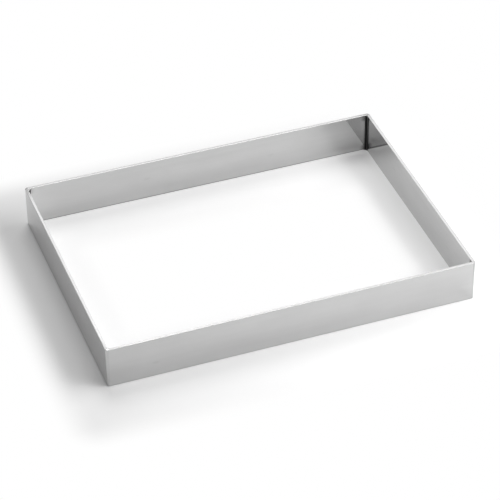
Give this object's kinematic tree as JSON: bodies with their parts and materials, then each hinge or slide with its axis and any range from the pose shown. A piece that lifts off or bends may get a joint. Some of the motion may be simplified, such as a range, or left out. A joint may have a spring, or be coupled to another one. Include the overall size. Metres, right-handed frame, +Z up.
{
  "type": "rectangular cake ring",
  "caption": "Open rectangular cake ring of polished flat steel bar on edge, with round dressed welds outside its corners and narrow weld beads inside them.",
  "frame": {"origin": "middle of the frame, on the surface that it stands on", "axes": "+X along the long walls, +Y from the front wall to the back wall, +Z up through the open middle"},
  "size_m": [0.385, 0.28, 0.045],
  "materials": {
    "bar_steel": "polished stainless steel, fine lengthwise grain, near mirror",
    "dressed_weld": "stainless weld metal, ground flush and polished with the bars",
    "seal_bead": "narrow stainless weld bead left as welded, dark with heat tint"
  },
  "bodies": {
    "root": {"long_bar_front": "bar_steel", "short_bar_right": "bar_steel", "long_bar_back": "bar_steel", "short_bar_left": "bar_steel", "corner_weld_front_left": "dressed_weld", "corner_weld_front_right": "dressed_weld", "corner_weld_back_right": "dressed_weld", "corner_weld_back_left": "dressed_weld", "seal_bead_front_left": "seal_bead", "seal_bead_front_right": "seal_bead", "seal_bead_back_right": "seal_bead", "seal_bead_back_left": "seal_bead"}
  },
  "joints": []
}
